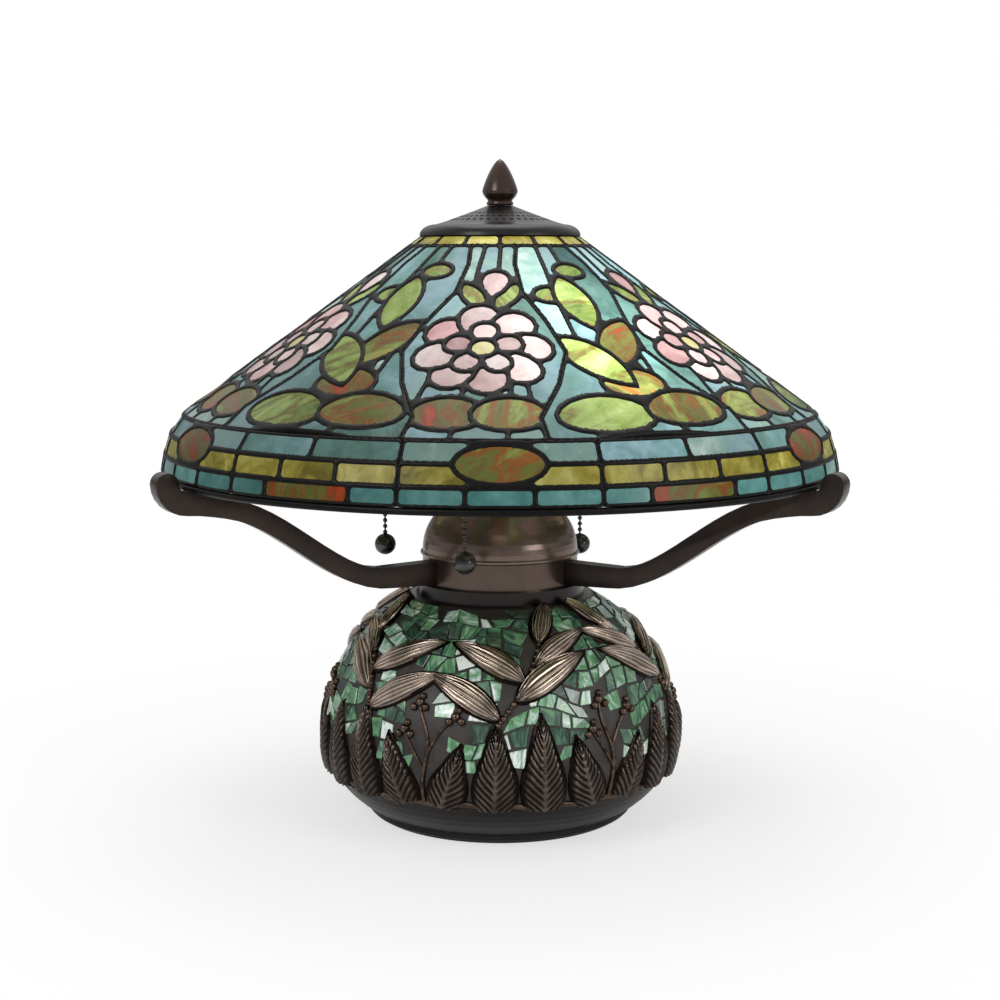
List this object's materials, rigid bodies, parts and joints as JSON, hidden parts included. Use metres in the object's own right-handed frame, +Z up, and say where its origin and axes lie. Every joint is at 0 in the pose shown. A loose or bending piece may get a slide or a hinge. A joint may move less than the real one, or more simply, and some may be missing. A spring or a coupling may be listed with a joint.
{
  "type": "leaded glass table lamp",
  "caption": "Table lamp with a leaded glass cone shade on hooked arms above a squat mosaic pot, with pull-chain sockets under the shade.",
  "frame": {"origin": "on the lamp's axis, at the underside of the felt pad that stands on the table", "axes": "+Z up the lamp's axis, +X to the right and +Y to the back as the front pull chain faces the viewer"},
  "size_m": [0.4593, 0.4782, 0.4476],
  "materials": {
    "felt": "matt black felt",
    "foot_black": "satin black",
    "cast_bronze": "dark antique bronze, rubbed on the raised parts",
    "mosaic_glass": "pearly green and white glass tiles",
    "black_rubber": "matt",
    "brown_bronze": "satin dark brown bronze",
    "hardware": "aged brass",
    "socket_brass": "brushed aged brass",
    "insulator": "unglazed cream",
    "bulb_metal": "plain",
    "bulb_glass": "inside-frosted",
    "chain_metal": "dark gunmetal",
    "lead": "dark patinated solder",
    "glass_turquoise": "streaky opalescent",
    "glass_pink": "streaky opalescent",
    "glass_yellow": "mottled opalescent",
    "glass_green": "streaky opalescent",
    "glass_amber": "streaky opalescent",
    "glass_lime": "rippled",
    "cap_black": "satin black bronze",
    "finial_brown": "gloss dark brown"
  },
  "bodies": {
    "base": {"felt_pad": "felt", "foot_plate": "foot_black", "pot": "cast_bronze", "pot_relief": "cast_bronze", "mosaic_tiles": "mosaic_glass", "cord_bushing": "black_rubber", "collar": "brown_bronze", "dome_cap": "brown_bronze", "arm_left": "brown_bronze", "arm_right": "brown_bronze", "arm_back": "brown_bronze", "arm_screws": "hardware", "centre_pipe": "hardware", "foot_washer": "hardware", "foot_nut": "hardware", "dome_nut": "hardware", "cluster_body": "hardware", "socket_cap_front": "socket_brass", "socket_shell_front": "socket_brass", "socket_core_front": "insulator", "chain_guide_front": "socket_brass", "socket_cap_right": "socket_brass", "socket_shell_right": "socket_brass", "socket_core_right": "insulator", "chain_guide_right": "socket_brass", "socket_cap_left": "socket_brass", "socket_shell_left": "socket_brass", "socket_core_left": "insulator", "chain_guide_left": "socket_brass"},
    "shade": {"leading_border": "lead", "leading_blossoms": "lead", "leading_leaves": "lead", "leading_apron": "lead", "rim_wire": "lead", "top_ring": "lead", "glass_border": "glass_lime", "glass_background": "glass_turquoise", "glass_petals": "glass_pink", "glass_centres": "glass_yellow", "glass_green_leaves": "glass_green", "glass_amber_leaves": "glass_amber", "glass_amber_band": "glass_lime", "glass_rim_band": "glass_turquoise", "heat_cap": "cap_black", "cap_nut": "hardware"},
    "finial": {"finial": "finial_brown"},
    "bulb_front": {"bulb_base_front": "bulb_metal", "bulb_glass_front": "bulb_glass"},
    "bulb_right": {"bulb_base_right": "bulb_metal", "bulb_glass_right": "bulb_glass"},
    "bulb_left": {"bulb_base_left": "bulb_metal", "bulb_glass_left": "bulb_glass"},
    "pull_front": {"pull_chain_front": "chain_metal", "pull_ball_front": "chain_metal"},
    "pull_right": {"pull_chain_right": "chain_metal", "pull_ball_right": "chain_metal"},
    "pull_left": {"pull_chain_left": "chain_metal", "pull_ball_left": "chain_metal"}
  },
  "joints": [
    {"name": "shade_lift", "type": "slide", "parent": "base", "child": "shade", "axis": [0, 0, 1], "range_m": [0, 0.25]},
    {"name": "finial_turn", "type": "hinge", "parent": "shade", "child": "finial", "pos_m": [0, 0, 0.42], "axis": [0, 0, 1], "continuous": true},
    {"name": "bulb_turn_front", "type": "hinge", "parent": "base", "child": "bulb_front", "pos_m": [0, 0, 0.264], "axis": [0, -1, 0], "continuous": true},
    {"name": "bulb_turn_right", "type": "hinge", "parent": "base", "child": "bulb_right", "pos_m": [0, 0, 0.264], "axis": [0.866, 0.5, 0], "continuous": true},
    {"name": "bulb_turn_left", "type": "hinge", "parent": "base", "child": "bulb_left", "pos_m": [0, 0, 0.264], "axis": [-0.866, 0.5, 0], "continuous": true},
    {"name": "pull_slide_front", "type": "slide", "parent": "base", "child": "pull_front", "axis": [0, 0, -1], "range_m": [0, 0.01], "stiffness_N_per_m": 300, "springref_m": -0.002},
    {"name": "pull_slide_right", "type": "slide", "parent": "base", "child": "pull_right", "axis": [0, 0, -1], "range_m": [0, 0.01], "stiffness_N_per_m": 300, "springref_m": -0.002},
    {"name": "pull_slide_left", "type": "slide", "parent": "base", "child": "pull_left", "axis": [0, 0, -1], "range_m": [0, 0.01], "stiffness_N_per_m": 300, "springref_m": -0.002}
  ]
}
